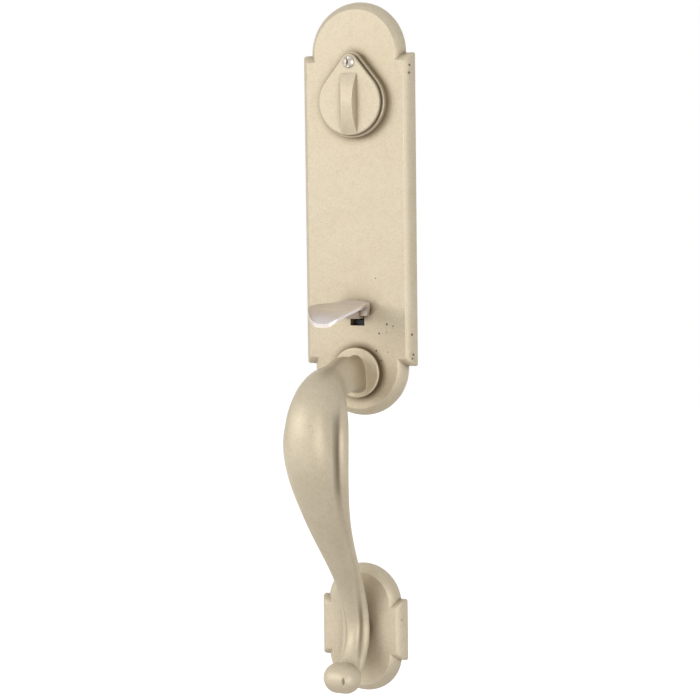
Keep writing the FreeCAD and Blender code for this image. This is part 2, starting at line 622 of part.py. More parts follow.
def make_bracket():
    half = BRACKET_HALF_WIDTH
    rear = REAR_WALL + REAR_WALL_THICK
    body = box(-half, half, PAD_Y, BRACKET_BACK, -BRACKET_HALF_HEIGHT, BRACKET_HALF_HEIGHT)
    body = body.multiFuse([
        box(-half, -BRACKET_INNER, PAD_Y, rear, EAR_BOTTOM, EAR_TOP),
        box(BRACKET_INNER, half, PAD_Y, rear, EAR_BOTTOM, EAR_TOP),
        box(-half, half, REAR_WALL, rear, EAR_BOTTOM, EAR_TOP),
        box(-half, half, PIVOT_Y, REAR_WALL, BRIDGE_BOTTOM, EAR_TOP),
    ]).removeSplitter()
    holes = [
        box(-SLOT_HALF_WIDTH - 0.6, SLOT_HALF_WIDTH + 0.6, PAD_Y - 1, BRACKET_BACK + 1,
            WINDOW_BOTTOM, BRIDGE_BOTTOM - 1),
        rod_x(PIVOT_PIN_R, -BRACKET_HALF_WIDTH - 1, BRACKET_HALF_WIDTH + 1, PIVOT_Y, PIVOT_Z),
        rod_y(CAM_HUB_R + RUNNING, REAR_WALL - 1, rear + 1, 0, 0),
    ]
    for side in (-1, 1):
        holes.append(rod_y(BRACKET_SCREW_R + SLIP, PAD_Y - 1, BRACKET_BACK + 1, 0, side * BRACKET_SCREW_Z))
    return body.cut(holes)


def make_bracket_screws():
    return Part.makeCompound([
        pan_screw(BRACKET_SCREW_R, PAD_Y - BRACKET_SCREW_DEPTH + 0.5, BRACKET_SCREW_HEAD_R,
                  BRACKET_SCREW_HEAD, BRACKET_BACK, 0, side * BRACKET_SCREW_Z) for side in (-1, 1)])


def make_cam():
    body = rod_y(CAM_DISC_R, CAM_DISC_Y, CAM_DISC_Y + CAM_DISC_THICK)
    body = body.multiFuse([
        rod_y(CAM_HUB_R, CAM_DISC_Y + CAM_DISC_THICK, CAM_HUB_END),
        rod_y(CRANK_R, CAM_DISC_Y - CRANK_LENGTH, CAM_DISC_Y, CRANK_X, CRANK_Z),
    ]).removeSplitter()
    half = SPINDLE_SIDE / 2
    square = box(-half, half, CAM_DISC_Y + 1, CAM_HUB_END + 1, -half, half)
    groove = ring_y(CAM_HUB_R + 1, CAM_HUB_R - CLIP_GROOVE, CLIP_Y, CLIP_Y + CLIP_THICK)
    pin = rod_x(ROLL_PIN_R, -CAM_HUB_R - 1, CAM_HUB_R + 1, roll_pin_y(), 0)
    return body.cut([square, groove, pin])


def roll_pin_y():
    return CAM_HUB_END - 1.5 * ROLL_PIN_R


def make_spindle():
    half = SPINDLE_SIDE / 2
    bar = box(-half, half, CAM_DISC_Y + 1, SPINDLE_REACH, -half, half)
    bar = bar.makeChamfer(0.6, edges_at_y(bar, SPINDLE_REACH))
    return bar.cut(rod_x(ROLL_PIN_R, -CAM_HUB_R - 1, CAM_HUB_R + 1, roll_pin_y(), 0))


def make_roll_pin():
    return rod_x(ROLL_PIN_R, -CAM_HUB_R + 0.2, CAM_HUB_R - 0.2, roll_pin_y(), 0)


def make_cam_clip():
    ring = ring_y(CLIP_R, CAM_HUB_R - CLIP_GROOVE, CLIP_Y, CLIP_Y + CLIP_THICK)
    mouth = box(-0.6 * CAM_HUB_R, 0.6 * CAM_HUB_R, CLIP_Y - 1, CLIP_Y + CLIP_THICK + 1, -CLIP_R - 1, 0)
    return ring.cut(mouth)


def make_return_spring():
    return coil_z(RETURN_SPRING_R, RETURN_SPRING_WIRE_R, RETURN_SPRING_TURNS,
                  TAIL_TOP, BRIDGE_BOTTOM, RETURN_SPRING_X, RETURN_SPRING_Y)


# Grip stations from the collar to the ball: back point, front point, half width, thickness of the
# back band, width of the shoulder beside the dome. A point is its y and its place below the collar
# axis as a share of the grip's span. The front of the strap starts as the top of the neck.
GRIP_STATIONS = (
    ((-12.4, 0.0808), (-12.4, -0.0718), 8.4, 10.0, 0.0),
    ((-15.4, 0.0741), (-15.4, -0.0661), 8.1, 10.0, 0.0),
    ((-23.0, 0.0684), (-24.0, -0.0661), 8.1, 10.0, 0.0),
    ((-34.0, 0.0695), (-38.0, -0.0729), 8.6, 10.4, 0.0),
    ((-44.7, 0.0769), (-54.1, -0.0505), 8.7, 10.8, 0.0),
    ((-53.9, 0.0839), (-71.1, -0.0343), 13.0, 11.2, 0.8),
    ((-61.7, 0.1072), (-85.8, 0.0145), 17.6, 11.6, 2.6),
    ((-67.6, 0.1491), (-95.7, 0.0932), 21.5, 11.6, 4.2),
    ((-70.8, 0.2080), (-99.7, 0.1883), 23.2, 11.6, 4.8),
    ((-71.1, 0.2754), (-98.5, 0.2798), 23.1, 11.4, 4.8),
    ((-68.7, 0.3498), (-92.7, 0.3700), 21.7, 11.0, 4.6),
    ((-63.7, 0.4307), (-83.5, 0.4611), 19.3, 10.0, 4.2),
    ((-56.4, 0.5153), (-73.2, 0.5524), 16.4, 8.6, 3.4),
    ((-46.7, 0.6008), (-61.0, 0.6418), 13.6, 7.4, 2.6),
    ((-35.6, 0.6922), (-47.7, 0.7289), 11.5, 6.6, 2.2),
    ((-25.5, 0.7880), (-35.7, 0.8153), 10.5, 6.0, 2.6),
    ((-17.4, 0.8822), (-27.1, 0.8997), 9.9, 6.0, 3.6),
    ((-13.7, 0.9698), (-23.3, 0.9728), 9.9, 6.0, 4.3),
    ((-14.9, 1.0470), (-25.3, 1.0367), 9.9, 6.4, 4.3),
    ((-20.1, 1.1137), (-30.3, 1.0883), 9.2, 6.4, 2.6),
    ((-25.0, 1.1673), (-36.0, 1.1153), 7.6, 6.0, 1.0),
    ((-32.5, 1.1877), (-39.6, 1.1311), 6.2, 5.0, 0.0),
    ((-40.0, 1.1888), (-42.2, 1.1447), 5.6, 4.4, 0.0),
)
STATION_STEPS = 3         # surface rows laid between two stations
BACK_POINTS = 6           # points of a section's half: round the band's back corner,
NOSE_POINTS = 4           # round its nose beside the dome,
DOME_POINTS = 8           # and over the dome


def grip_section(back, front, half_width, band, shoulder):
    """Closed section: squarish band at the back, a shoulder on each side, domed front."""
    depth = math.hypot(front[0] - back[0], front[1] - back[1])
    half = []
    for k in range(BACK_POINTS):
        turn = 0.5 * math.pi * (1 - k / BACK_POINTS)
        half.append((half_width * math.cos(turn) ** 0.78, 0.5 * band * (1 - math.sin(turn) ** 0.8)))
    for k in range(NOSE_POINTS):
        turn = 0.5 * math.pi * k / NOSE_POINTS
        half.append((half_width - shoulder * (1 - math.cos(turn)), 0.5 * band * (1 + math.sin(turn))))
    for k in range(DOME_POINTS + 1):
        turn = 0.5 * math.pi * k / DOME_POINTS
        half.append(((half_width - shoulder) * abs(math.cos(turn)) ** 0.86,
                     band + (depth - band) * math.sin(turn) ** 0.95))
    half[0], half[-1] = (0, 0), (0, depth)
    points = half + [(-x, v) for x, v in half[-2:0:-1]]
    way = ((front[0] - back[0]) / depth, (front[1] - back[1]) / depth)
    return [Vector(x, back[0] + way[0] * v, back[1] + way[1] * v) for x, v in points]


def below_collar(share):
    """Height of a place given as a share of the grip's span below the collar axis."""
    return GRIP_Z - share * GRIP_SPAN


def grip_strap():
    rows = [(*back, *front, *sizes) for back, front, *sizes in GRIP_STATIONS]
    sections = []
    for row in between_rows(rows, STATION_STEPS):
        back, front = (row[0], below_collar(row[1])), (row[2], below_collar(row[3]))
        sections.append(grip_section(back, front, *row[4:]))
    return skin(sections)


def rounded_rod(radius, start, end):
    """Rod between two points with a ball at each."""
    rod = Part.makeCylinder(radius, (end - start).Length, start, end - start)
    return rod.multiFuse([Part.makeSphere(radius, start), Part.makeSphere(radius, end)]).removeSplitter()


def ball_end():
    """Ball drawn out sideways, with a shallow upright dent in its front."""
    height = below_collar(BALL_SHARE)
    side = Vector(BALL_HALF_WIDTH - BALL_R, 0, 0)
    middle = Vector(0, BALL_Y, height)
    front = BALL_Y - math.sqrt(BALL_R ** 2 - (DENT_X - side.x) ** 2)
    dent = Vector(DENT_X, front - DENT_R + DENT_DEPTH, height)
    rise = Vector(0, 0, DENT_HALF_HEIGHT - DENT_R)
    return rounded_rod(BALL_R, middle - side, middle + side).cut(rounded_rod(DENT_R, dent - rise, dent + rise))


def make_grip():
    collar = rod_y(COLLAR_R, COLLAR_FRONT, FACE_Y, 0, GRIP_Z)
    collar = collar.makeFillet(COLLAR_EDGE_R, edges_at_y(collar, COLLAR_FRONT))
    spigot = rod_y(SPIGOT_R, FACE_Y, POCKET_Y - SLIP, 0, GRIP_Z)
    post = rod_y(SHOULDER_R, POST_FRONT, FACE_Y, 0, ROSETTE_CENTRE_Z)
    lower = rod_y(LOWER_SPIGOT_R, FACE_Y, -SPIGOT_SET_BACK, 0, ROSETTE_CENTRE_Z)
    body = grip_strap().fuse(ball_end())
    for piece in (post, lower, collar, spigot):
        body = body.fuse(piece)
    body = body.removeSplitter()
    holes = [
        rod_y(GRIP_SCREW_R + THREAD, POCKET_Y - GRIP_SCREW_DEPTH, 1, 0, GRIP_Z),
        rod_y(LOWER_THREAD_R, -SPIGOT_SET_BACK - LOWER_THREAD_DEPTH, 1, 0, ROSETTE_CENTRE_Z),
        ring_y(LOWER_SPIGOT_R + 1, LOWER_SPIGOT_R - RING_GROOVE, POCKET_Y, POCKET_Y + RING_THICK,
               0, ROSETTE_CENTRE_Z),
    ]
    return body.cut(holes)


def make_grip_washer():
    return ring_y(GRIP_WASHER_R, GRIP_SCREW_R + SLIP, POCKET_Y, POCKET_Y + GRIP_WASHER_THICK, 0, GRIP_Z)


def make_grip_screw():
    seat = POCKET_Y + GRIP_WASHER_THICK
    body = rod_y(GRIP_SCREW_HEAD_R, seat, seat + GRIP_SCREW_HEAD, 0, GRIP_Z)
    body = body.makeFillet(0.6, edges_at_y(body, seat + GRIP_SCREW_HEAD))
    body = body.fuse(rod_y(GRIP_SCREW_R, POCKET_Y - GRIP_SCREW_DEPTH + 2, seat, 0, GRIP_Z)).removeSplitter()
    across = GRIP_SCREW_SOCKET / math.sqrt(3)
    corners = [Vector(across * math.cos(math.radians(60 * k)), seat + 0.8,
                      GRIP_Z + across * math.sin(math.radians(60 * k))) for k in range(7)]
    socket = Part.Face(Part.makePolygon(corners)).extrude(Vector(0, GRIP_SCREW_HEAD, 0))
    return body.cut(socket)


def make_retaining_ring():
    ring = ring_y(RING_R, LOWER_SPIGOT_R - RING_GROOVE, POCKET_Y, POCKET_Y + RING_THICK,
                  0, ROSETTE_CENTRE_Z)
    mouth = box(-3.0, 3.0, POCKET_Y - 1, 0, ROSETTE_CENTRE_Z - RING_R - 1, ROSETTE_CENTRE_Z - 1)
    return ring.cut(mouth)


MAKERS = {
    "escutcheon_plate": make_plate,
    "mounting_posts": make_posts,
    "keyhole_cover": make_cover,
    "cover_pivot_screw": make_cover_screw,
    "cover_spring_washer": make_cover_washer,
    "cylinder_housing": make_housing,
    "cylinder_screws": make_cylinder_screws,
    "cylinder_plug": make_plug,
    "key_pins": make_key_pins,
    "driver_pins": make_driver_pins,
    "pin_springs": make_pin_springs,
    "chamber_caps": make_chamber_caps,
    "plug_cap": make_plug_cap,
    "tailpiece": make_tailpiece,
    "thumbpiece": make_thumbpiece,
    "thumb_pivot_pin": make_pivot_pin,
    "pivot_spacers": make_pivot_spacers,
    "latch_bracket": make_bracket,
    "bracket_screws": make_bracket_screws,
    "latch_cam": make_cam,
    "latch_spindle": make_spindle,
    "spindle_roll_pin": make_roll_pin,
    "cam_clip": make_cam_clip,
    "thumb_return_spring": make_return_spring,
    "grip_handle": make_grip,
    "grip_washer": make_grip_washer,
    "grip_screw": make_grip_screw,
    "lower_rosette": make_rosette,
    "rosette_retaining_ring": make_retaining_ring,
}

os.makedirs("parts", exist_ok=True)
for name, maker in MAKERS.items():
    shape = maker()
    print(name, len(shape.Solids), round(shape.Volume, 1), shape.isValid())
    shape.exportStep("parts/" + name + ".step")
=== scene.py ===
import json
import math

import bpy
from mathutils import Matrix, Vector

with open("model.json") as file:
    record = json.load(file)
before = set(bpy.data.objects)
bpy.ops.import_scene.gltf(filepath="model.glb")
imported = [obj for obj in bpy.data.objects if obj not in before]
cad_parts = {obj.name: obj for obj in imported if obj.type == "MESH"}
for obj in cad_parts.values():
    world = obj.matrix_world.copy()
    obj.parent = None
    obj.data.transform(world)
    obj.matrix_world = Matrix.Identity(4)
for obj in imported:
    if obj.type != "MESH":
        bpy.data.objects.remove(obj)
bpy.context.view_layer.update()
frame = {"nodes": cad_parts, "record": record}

NODES = frame["nodes"]

# Camera, right of the door's normal and a little above it: degrees and metres
CAMERA_YAW = 24.369
CAMERA_PITCH = 4.825
CAMERA_ROLL = -0.701
CAMERA_DISTANCE = 1.4
CAMERA_TARGET = Vector((-0.009741, 0.0, -0.028372))
CAMERA_NEAR = 0.05
CAMERA_FAR = 50.0
FOCAL_PIXELS = 2044.0
IMAGE_PIXELS = 700.0
SENSOR_MM = 36.0

# Studio: a pale floor that fades into white surroundings, in metres
FLOOR_Z = -1.0
FLOOR_HALF = 8.0
FLOOR_COLOUR = (238, 236, 233)
FADE_START = 1.0
FADE_END = 2.6
FADE_LEVEL = 0.45
WORLD_COLOUR = (248, 245, 246)
WORLD_LEVEL = 0.26
WHITE = (1.0, 1.0, 1.0, 1.0)

# Lamps: name, place, aim, size in metres, power in watts, colour
LAMPS = (
    ("key", (-2.3, -3.5, 1.15), (0.0, 0.0, -0.05), 1.8, 40.0, (1.0, 0.98, 0.94)),
    ("side", (-3.2, -1.2, 0.7), (0.0, 0.0, -0.05), 1.5, 9.0, (1.0, 0.98, 0.97)),
    ("fill", (2.2, -2.4, 0.0), (0.0, 0.0, -0.08), 1.6, 22.0, (1.0, 0.965, 0.93)),
    ("top", (0.2, -1.6, 2.4), (0.0, 0.0, -0.05), 0.9, 1.5, (1.0, 1.0, 1.0)),
)

# Cast metals: light, dark and stained colour, roughness, depth of grain, share of bare metal
CAST_METALS = {
    "cast_bronze": ((230, 218, 193), (222, 209, 182), (190, 172, 138), 0.47, 1.0, 0.4),
    # Thumbpiece: a smoother bronze whose pale grey-pink tint is a painted reflection of the pale
    # surroundings
    "thumb_bronze": ((233, 226, 225), (222, 214, 210), (182, 171, 160), 0.34, 0.3, 0.7),
}
# Turned metals: light and dark colour, roughness, density of the turning lines
TURNED_METALS = {
    "turned_brass": ((226, 200, 134), (205, 176, 108), 0.28, 2400.0),
    "bright_nickel": ((204, 196, 186), (184, 176, 166), 0.24, 1500.0),
    "spring_steel": ((168, 168, 170), (146, 146, 149), 0.30, 2400.0),
}
# Plated metals: light and dark colour, roughness
PLATED_METALS = {
    "zinc_steel": ((206, 209, 214), (184, 187, 192), 0.34),
    "black_steel": ((66, 66, 68), (48, 48, 51), 0.42),
}

# Noise fields: scale, detail, roughness and distortion
CLOUD_NOISE = (42.0, 4.0, 0.6, 0.6)
PATCH_NOISE = (210.0, 4.0, 0.65)
SWELL_NOISE = (260.0, 2.0)
SAND_NOISE = (1100.0, 3.0, 0.7)
FINE_SAND_NOISE = (3200.0, 2.0, 0.6)
TARNISH_NOISE = (160.0, 3.0)
PLATING_NOISE = (240.0, 4.0, 0.6)
SCUFF_NOISE = (1800.0, 3.0)
# Turning lines: detail and roughness of their noise, and its stretch across Y
TURNING_NOISE = (2.0, 0.7)
TURNING_STRETCH = (0.08, 1.0, 0.08)
# Crystals of the plating: their scale and how strongly they tint it
CRYSTAL_SCALE = 420.0
CRYSTAL_TINT = 0.06
# Range in which a noise mostly stays
NOISE_LOW = 0.3
NOISE_HIGH = 0.7

# Surface relief: height in metres and strength
SAND_RELIEF = (0.00014, 0.8)
SWELL_RELIEF = (0.0002, 0.5)
TURNING_RELIEF = (0.00002, 0.5)
SCUFF_RELIEF = (0.00003, 0.5)
SAND_SHARE = 0.6
FINE_SAND_SHARE = 0.4

# Roughness that each noise adds at its low and at its high end
SAND_ROUGHNESS = (-0.04, 0.05)
CLOUD_ROUGHNESS = (-0.03, 0.03)
TURNING_ROUGHNESS = (-0.05, 0.08)
TARNISH_ROUGHNESS = (0.05, -0.03)
PLATING_ROUGHNESS = (-0.06, 0.08)

# Stains of the casting: the two ends of the noise between which they fade, and their strength
PATCH_STAIN = (0.5, 0.8, 0.22)
SAND_STAIN = (0.26, 0.4, 0.4)
# Brightness of the sandy speckle, from dark to light
SPECKLE = (0.88, 1.05)

# Worn edges, partly painted highlight: reach in metres, cosine of the bend where wear starts and is
# full, strength
EDGE_REACH = 0.0007
EDGE_BEND = (0.999, 0.972)
EDGE_STRENGTH = 0.6
EDGE_SAMPLES = 6

# Painted shade in corners and gaps: reach in metres, openness at which it is full and at which it ends,
# strength
HOLLOW_SHADE = (0.028, 0.25, 0.85, 0.6)
CORNER_SHADE = (0.006, 0.4, 0.94, 0.8)
SLOT_SHADE = (0.002, 0.45, 0.92, 1.0)
SHADE_SAMPLES = 8

# Colours of wear with painted highlight, and of painted shade
WORN_HIGHLIGHT_COLOUR = (250, 242, 224)
GROOVE_SHADE_COLOUR = (118, 104, 76)
HOLLOW_SHADE_COLOUR = (140, 120, 90)
COLLAR_SHADE_COLOUR = (122, 104, 76)
BALL_SHADE_COLOUR = (112, 94, 66)
PIT_SHADE_COLOUR = (92, 74, 56)
CORNER_SHADE_COLOUR = (112, 92, 62)
SLOT_SHADE_COLOUR = (58, 48, 38)

# Groove beside the grip's dome: height and half spacing in metres, strength of its painted shade
GROOVE_LINE = (
    (-0.045, 0.0120, 0.0), (-0.055, 0.0150, 0.0), (-0.065, 0.0173, 0.5), (-0.078, 0.0184, 0.9),
    (-0.0915, 0.0183, 1.0), (-0.106, 0.0171, 0.9), (-0.1213, 0.0151, 0.35), (-0.1368, 0.0130, 0.1),
    (-0.152, 0.0110, 0.05), (-0.168, 0.0093, 0.05), (-0.1845, 0.0079, 0.1), (-0.2004, 0.0063, 0.5),
    (-0.2143, 0.0056, 0.9), (-0.2266, 0.0056, 0.6), (-0.2369, 0.0066, 0.0),
)
GROOVE_WIDEST = 0.02
# Its band: distance from the line where the painted shade is full and where it ends, strength
GROOVE_BAND = (0.0002, 0.0015, 0.8)
# It fades where the surface turns from the front, close to the plate and towards the left
GROOVE_FACING = (-0.05, 0.2)
GROOVE_AHEAD = (-0.017, -0.016)
GROOVE_SIDES = (-0.002, 0.002, 0.45, 1.0)

# Round collar where the grip meets the plate, and the neck that grows out of it
COLLAR_CENTRE = (0.0, 0.0, -0.0425)
COLLAR_RADIUS = 0.0172
COLLAR_FRONT = -0.0134
NECK_RADIUS = 0.0125
# Painted shade in a ring: distances past the collar's radius and behind its front, weaker on the left
RING_START = (-0.0008, -0.0001)
RING_END = (-0.0001, 0.0045)
RING_STRENGTH = 0.85
RING_BEHIND = (0.0009, 0.0016)
RING_SIDES = (-0.012, 0.008, 0.25, 1.0)
# Painted shade at the root of the neck: distances behind the collar's front and past the neck's radius
ROOT_START = (-0.021, -0.004)
ROOT_END = (-0.0004, -0.0001)
ROOT_STRENGTH = 0.5
ROOT_EDGE = (0.0, 0.002)
# Front kept free of painted shade: distances behind the collar's front and past its radius
UNSHADED_START = (-0.008, -0.003)
UNSHADED_END = (0.0002, 0.0012)
UNSHADED_EDGE = (0.0, 0.001)

# Ball at the grip's foot, longer from side to side than it is tall
BALL_CENTRE = (0.0, -0.0406, -0.2467)
BALL_RADIUS = 0.0103
BALL_STRETCH = 0.0027
# Painted shade in the crease above the ball and in the dent in its front: distances past its surface,
# strength
CREASE_START = (0.00006, 0.00025)
CREASE_END = (0.0001, 0.0016)
CREASE_STRENGTH = 0.75
DENT_DEPTHS = (-0.0005, -0.00004)
DENT_STRENGTH = 0.7
DENT_FRONT = (-0.006, -0.005)

# Casting pits in the plate and the rosette, darkened with painted shade: x, y, z and radius, in metres
PITS = (
    (0.0218, -0.0090, -0.0095, 0.0010), (0.0263, -0.0090, -0.0106, 0.0008),
    (0.0160, -0.0090, -0.0158, 0.0010), (0.0212, -0.0090, -0.0152, 0.0006),
    (0.0137, -0.0090, -0.0276, 0.0009), (0.0222, -0.0090, -0.0284, 0.0006),
    (0.0173, -0.0090, -0.0343, 0.0008), (0.0160, -0.0090, -0.0374, 0.0009),
    (0.0139, -0.0090, 0.0215, 0.0007), (0.0389, -0.0060, -0.0164, 0.0012),
    (0.0394, -0.0050, -0.0300, 0.0012), (0.0390, -0.0058, -0.0326, 0.0010),
    (0.0389, -0.0060, 0.1635, 0.0011), (0.0387, -0.0063, 0.1584, 0.0013),
    (0.0289, -0.0058, -0.2116, 0.0010),
)
PIT_CORE = 0.35
PIT_STRENGTH = 0.85


def srgb(r, g, b):
    """Linear RGBA of an 8-bit colour."""
    def linear(value):
        value /= 255.0
        return value / 12.92 if value <= 0.04045 else ((value + 0.055) / 1.055) ** 2.4
    return (linear(r), linear(g), linear(b), 1.0)


def grey(level):
    return (level, level, level, 1.0)


def past(base, distances):
    """Places at these distances past a base."""
    return [base + distance for distance in distances]


class Graph:
    """Short way to write a node tree."""

    def __init__(self, tree):
        self.tree = tree
        self.nodes = tree.nodes
        self.nodes.clear()

    def add(self, kind, inputs=None, **settings):
        node = self.nodes.new(kind)
        for key, value in settings.items():
            setattr(node, key, value)
        for name, given in (inputs or {}).items():
            self.put(node.inputs[name], given)
        return node

    def put(self, socket, given):
        """Link the socket to another one, or set its own value."""
        if isinstance(given, bpy.types.NodeSocket):
            self.tree.links.new(given, socket)
        else:
            socket.default_value = given

    def noise(self, coord, scale, detail=2.0, rough=0.5, distortion=0.0):
        return self.add("ShaderNodeTexNoise", inputs={
            "Vector": coord, "Scale": scale, "Detail": detail, "Roughness": rough,
            "Distortion": distortion}).outputs["Fac"]

    def shades(self, noise, dark, light):
        """Colour that follows a noise from dark to light."""
        node = self.add("ShaderNodeValToRGB", inputs={"Fac": noise})
        stops = ((NOISE_LOW, dark), (NOISE_HIGH, light))
        for element, (place, colour) in zip(node.color_ramp.elements, stops):
            element.position = place
            element.color = colour
        return node.outputs["Color"]

    def curve(self, fac, points):
        """Value read off a smooth curve through points given from 0 to 1 both ways."""
        node = self.add("ShaderNodeFloatCurve", inputs={"Value": fac})
        line = node.mapping.curves[0]
        while len(line.points) < len(points):
            line.points.new(0.5, 0.5)
        for point, place in zip(line.points, points):
            point.location = place
        node.mapping.update()
        return node.outputs["Value"]

    def spread(self, value, low, high, to_low, to_high):
        return self.add("ShaderNodeMapRange", inputs={
            "Value": value, "From Min": low, "From Max": high, "To Min": to_low,
            "To Max": to_high}).outputs["Result"]

    def rise(self, value, low, high, level=1.0):
        """0 up to low, then rising to level at high."""
        return self.spread(value, low, high, 0.0, level)

    def fall(self, value, low, high, level=1.0):
        """Level up to low, then falling to 0 at high."""
        return self.spread(value, low, high, level, 0.0)

    def swing(self, noise, at_low, at_high):
        """Value that follows a noise from one end to the other."""
        return self.spread(noise, NOISE_LOW, NOISE_HIGH, at_low, at_high)

    def calc(self, operation, *values):
        node = self.add("ShaderNodeMath", operation=operation, inputs=dict(enumerate(values)))
        return node.outputs["Value"]

    def product(self, result, *factors):
        for factor in factors:
            result = self.calc("MULTIPLY", result, factor)
        return result

    def measure(self, operation, *vectors):
        """Number that a vector operation gives, such as a length or a distance."""
        node = self.add("ShaderNodeVectorMath", operation=operation, inputs=dict(enumerate(vectors)))
        return node.outputs["Value"]

    def mapped(self, vector, scale, shift=(0.0, 0.0, 0.0)):
        return self.add("ShaderNodeMapping", inputs={
            "Vector": vector, "Scale": scale, "Location": shift}).outputs["Vector"]

    def axes(self, vector):
        return self.add("ShaderNodeSeparateXYZ", inputs={"Vector": vector}).outputs

    def mix(self, fac, a, b, blend="MIX"):
        return self.add("ShaderNodeMix", data_type="RGBA", blend_type=blend, inputs={
            "Factor": fac, "A": a, "B": b}).outputs["Result"]

    def bump(self, height, relief, grain=1.0, under=None):
        """Normal over a height field, on top of the normal under it."""
        distance, strength = relief
        node = self.add("ShaderNodeBump", inputs={
            "Height": height, "Distance": distance * grain, "Strength": strength})
        if under is not None:
            self.put(node.inputs["Normal"], under)
        return node.outputs["Normal"]


def new_material(name):
    material = bpy.data.materials.new(name)
    material.use_nodes = True
    g = Graph(material.node_tree)
    shader = g.add("ShaderNodeBsdfPrincipled")
    g.add("ShaderNodeOutputMaterial", inputs={"Surface": shader.outputs["BSDF"]})
    coord = g.add("ShaderNodeTexCoord").outputs["Object"]
    return material, g, shader, coord


def edge_wear_and_highlight(g):
    """Bright wear and painted highlight along sharp edges, none on flat ground."""
    bevel = g.add("ShaderNodeBevel", samples=EDGE_SAMPLES, inputs={"Radius": EDGE_REACH})
    plain = g.add("ShaderNodeNewGeometry").outputs["Normal"]
    bend = g.measure("DOT_PRODUCT", bevel.outputs["Normal"], plain)
    return g.rise(bend, *EDGE_BEND, EDGE_STRENGTH)


def painted_shade(g, reach, full, end, strength):
    """Painted shade that darkens corners and narrow gaps, none in the open."""
    openness = g.add("ShaderNodeAmbientOcclusion", samples=SHADE_SAMPLES, inputs={"Distance": reach})
    return g.fall(openness.outputs["AO"], full, end, strength)


def groove_painted_shade(g, coord):
    """Painted shade: a dark line in the grip's groove, on its front and stronger on its right."""
    low = GROOVE_LINE[-1][0]
    high = GROOVE_LINE[0][0]
    rows = [((z - low) / (high - low), spacing, depth) for z, spacing, depth in reversed(GROOVE_LINE)]
    axes = g.axes(coord)
    along = g.rise(axes["Z"], low, high)
    share = g.curve(along, [(place, spacing / GROOVE_WIDEST) for place, spacing, _ in rows])
    strength = g.curve(along, [(place, depth) for place, _, depth in rows])
    from_middle = g.calc("ABSOLUTE", axes["X"])
    away = g.calc("ABSOLUTE", g.calc("SUBTRACT", from_middle, g.product(share, GROOVE_WIDEST)))
    facing = g.axes(g.add("ShaderNodeTexCoord").outputs["Normal"])["Y"]
    return g.product(
        g.fall(away, *GROOVE_BAND),
        strength,
        g.fall(facing, *GROOVE_FACING),
        g.fall(axes["Y"], *GROOVE_AHEAD),
        g.spread(axes["X"], *GROOVE_SIDES))


def from_collar_axis(g, coord):
    """Distance from the axis of the grip's collar."""
    return g.measure("LENGTH", g.mapped(coord, (1.0, 0.0, 1.0), tuple(-v for v in COLLAR_CENTRE)))


def collar_painted_shade(g, coord):
    """Painted shade: a dark ring on the collar's side and the plate round it, and at the root of the
    neck.
    """
    radius = from_collar_axis(g, coord)
    axes = g.axes(coord)
    ring = g.product(
        g.fall(radius, *past(COLLAR_RADIUS, RING_END), RING_STRENGTH),
        g.rise(radius, *past(COLLAR_RADIUS, RING_START)),
        g.rise(axes["Y"], *past(COLLAR_FRONT, RING_BEHIND)),
        g.spread(axes["X"], *RING_SIDES))
    root = g.product(
        g.rise(axes["Y"], *past(COLLAR_FRONT, ROOT_START), ROOT_STRENGTH),
        g.fall(axes["Y"], *past(COLLAR_FRONT, ROOT_END)),
        g.fall(radius, *past(NECK_RADIUS, ROOT_EDGE)))
    return g.calc("MAXIMUM", ring, root)


def off_collar_front(g, coord):
    """0 on the collar's front, which painted shade leaves alone, 1 elsewhere."""
    depth = g.axes(coord)["Y"]
    front = g.product(
        g.rise(depth, *past(COLLAR_FRONT, UNSHADED_START)),
        g.fall(depth, *past(COLLAR_FRONT, UNSHADED_END)),
        g.fall(from_collar_axis(g, coord), *past(COLLAR_RADIUS, UNSHADED_EDGE)))
    return g.calc("SUBTRACT", 1.0, front)


def ball_painted_shade(g, coord):
    """Painted shade in the crease where the strap meets the ball, and in a dent in the ball's front."""
    axes = g.axes(g.mapped(coord, (1.0, 1.0, 1.0), tuple(-v for v in BALL_CENTRE)))
    beyond = g.calc("MAXIMUM", g.calc("SUBTRACT", g.calc("ABSOLUTE", axes["X"]), BALL_STRETCH), 0.0)
    shortened = g.add("ShaderNodeCombineXYZ", inputs={"X": beyond, "Y": axes["Y"], "Z": axes["Z"]})
    radius = g.measure("LENGTH", shortened.outputs["Vector"])
    crease = g.product(
        g.fall(radius, *past(BALL_RADIUS, CREASE_END), CREASE_STRENGTH),
        g.rise(radius, *past(BALL_RADIUS, CREASE_START)))
    dent = g.product(
        g.fall(radius, *past(BALL_RADIUS, DENT_DEPTHS), DENT_STRENGTH),
        g.fall(axes["Y"], *DENT_FRONT))
    return g.calc("MAXIMUM", crease, dent)


def pit_painted_shade(g, coord):
    """Painted shade in casting pits."""
    dark = 0.0
    for *centre, radius in PITS:
        away = g.measure("DISTANCE", coord, centre)
        dark = g.calc("MAXIMUM", g.fall(away, PIT_CORE * radius, radius, PIT_STRENGTH), dark)
    return dark


